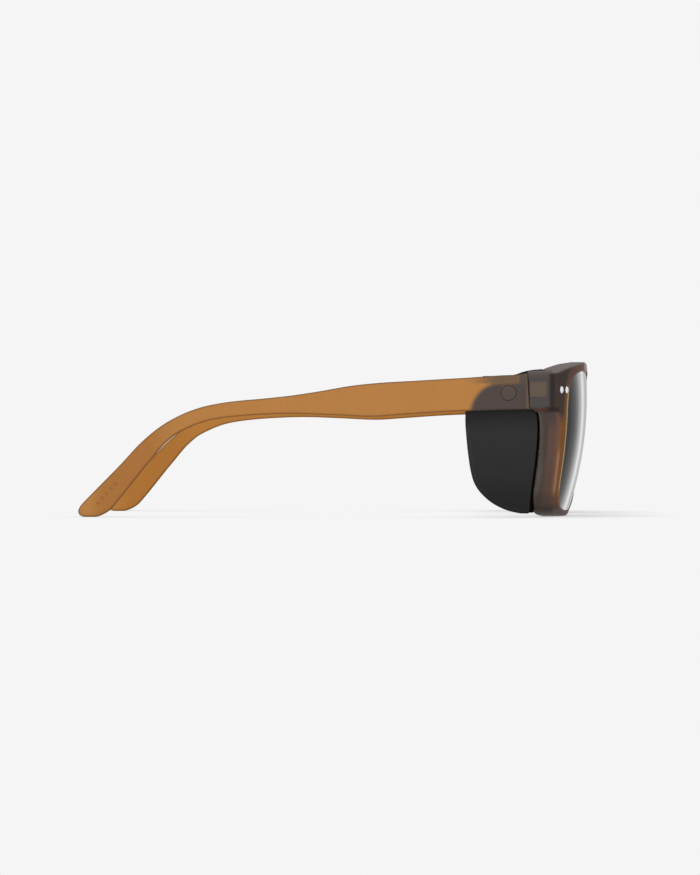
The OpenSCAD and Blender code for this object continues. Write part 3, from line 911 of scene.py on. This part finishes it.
build_front()
build_temples()
build_shields()
lens = sculpt(lens_field, low=(-65.2, 36.0, 0.6), high=(-8.2, 48.8, 43.9), cell=0.36)
build_pair("lens_glass_", lens, LENS_TINT, "lens_")
pad = sculpt(pad_field, low=(-16.5, 32.5, 11.5), high=(-4, 45.0, 27.5), cell=0.24)
build_pair("nose_pad_soft_", pad, PAD_RUBBER, "nose_pad_")
finish_metal()

# ---- stage, metres -------------------------------------------------------------------------
PAPER = srgb(245, 245, 245)[0]
scene = bpy.context.scene


def add_floor():
    """Glowing paper with painted shadows, from ambient occlusion, close to the glasses."""
    bpy.ops.mesh.primitive_plane_add(size=1, location=(0, 0, 0))
    floor = bpy.context.object
    floor.name = "floor"
    floor.scale = (60, 60, 1)
    mat = new_material("paper")
    occlusion = mat.node("ShaderNodeAmbientOcclusion", {"Distance": 0.034}, samples=12)
    shade = mat.math("POWER", occlusion.outputs["AO"], 0.9)
    shadow = (PAPER * 0.42, PAPER * 0.42, PAPER * 0.415, 1)
    colour = mat.mix(shade, shadow, grey(PAPER))
    paint(floor, mat.finish(mat.node("ShaderNodeEmission", {"Color": colour}).outputs[0]))
    floor.visible_glossy = False


# brightness round the horizon: (degrees from +X towards -Y, brightness)
HORIZON = [
    (-180, 0.85), (-36, 0.85), (-3.6, 0.45), (9, 0.41), (12.5, 0.43), (16, 0.66),
    (18.2, 0.88), (20.2, 0.65), (23.8, 0.45), (27, 0.27), (30, 0.165), (36.5, 0.08),
    (60, 0.08), (100, 0.75), (180, 0.85),
]
HORIZON_GAIN, OVERHEAD = 1.65, 1.12


def add_world():
    """Studio for light and reflections; the camera itself sees plain paper."""
    world = bpy.data.worlds.new("studio")
    scene.world = world
    sky = Nodes(world)
    x, y, z = sky.axes("Generated")
    # angle as a share of a whole turn, 0.5 at +X
    angle = sky.math("ARCTAN2", sky.math("MULTIPLY", y, -1.0), x)
    angle = sky.math("DIVIDE", angle, math.pi)
    angle = sky.math("ADD", sky.math("MULTIPLY", angle, 0.5), 0.5, clamp=True)
    # the bright panel leans over: start height, lean per height and greatest lean
    tilt = sky.math("MULTIPLY", sky.math("ADD", z, 0.041), 0.0833)
    tilt = sky.math("MAXIMUM", sky.math("MINIMUM", tilt, 0.0083), 0.0)
    angle = sky.math("SUBTRACT", angle, tilt)
    band = sky.ramp(angle, [(0.5 + turn / 360, grey(value)) for turn, value in HORIZON])
    bright = sky.math("MULTIPLY", band, HORIZON_GAIN)
    steep = sky.math("POWER", sky.math("ABSOLUTE", z), 3.0)
    mixed = sky.node("ShaderNodeMix", {0: steep, 2: bright, 3: OVERHEAD}, data_type="FLOAT")
    studio = sky.node("ShaderNodeBackground", {"Strength": mixed.outputs[0]}).outputs[0]
    paper = sky.node("ShaderNodeBackground", {"Color": grey(PAPER)}).outputs[0]
    seen = sky.node("ShaderNodeLightPath").outputs["Is Camera Ray"]
    shader = sky.node("ShaderNodeMixShader", {0: seen, 1: studio, 2: paper}).outputs[0]
    sky.node("ShaderNodeOutputWorld", {"Surface": shader})


def place(name, data, location):
    obj = bpy.data.objects.new(name, data)
    scene.collection.objects.link(obj)
    obj.location = location
    return obj


def look(obj, direction):
    obj.rotation_euler = direction.to_track_quat("-Z", "Y").to_euler()


def add_key():
    light = bpy.data.lights.new("key", "AREA")
    light.shape = "RECTANGLE"
    light.size, light.size_y = 0.9, 0.6
    light.energy = 1.9
    key = place("key", light, (-0.7, -0.5, 1.0))
    look(key, Vector((0, 0, 0.02)) - key.location)


def add_camera():
    """Long lens on the wearer's right side."""
    data = bpy.data.cameras.new("camera")
    data.sensor_width = 36
    data.lens = 185.39
    data.clip_start, data.clip_end = 0.05, 100
    camera = place("camera", data, (-1.370, -CENTRE / 1000, 0.020))
    look(camera, Vector((1, 0.01664, 0.00233)))
    scene.camera = camera


add_floor()
add_world()
add_key()
add_camera()
scene.view_settings.view_transform = "Standard"
scene.view_settings.look = "None"
scene.view_settings.exposure = 0
scene.view_settings.gamma = 1
scene.cycles.use_denoising = True

bpy.context.view_layer.update()
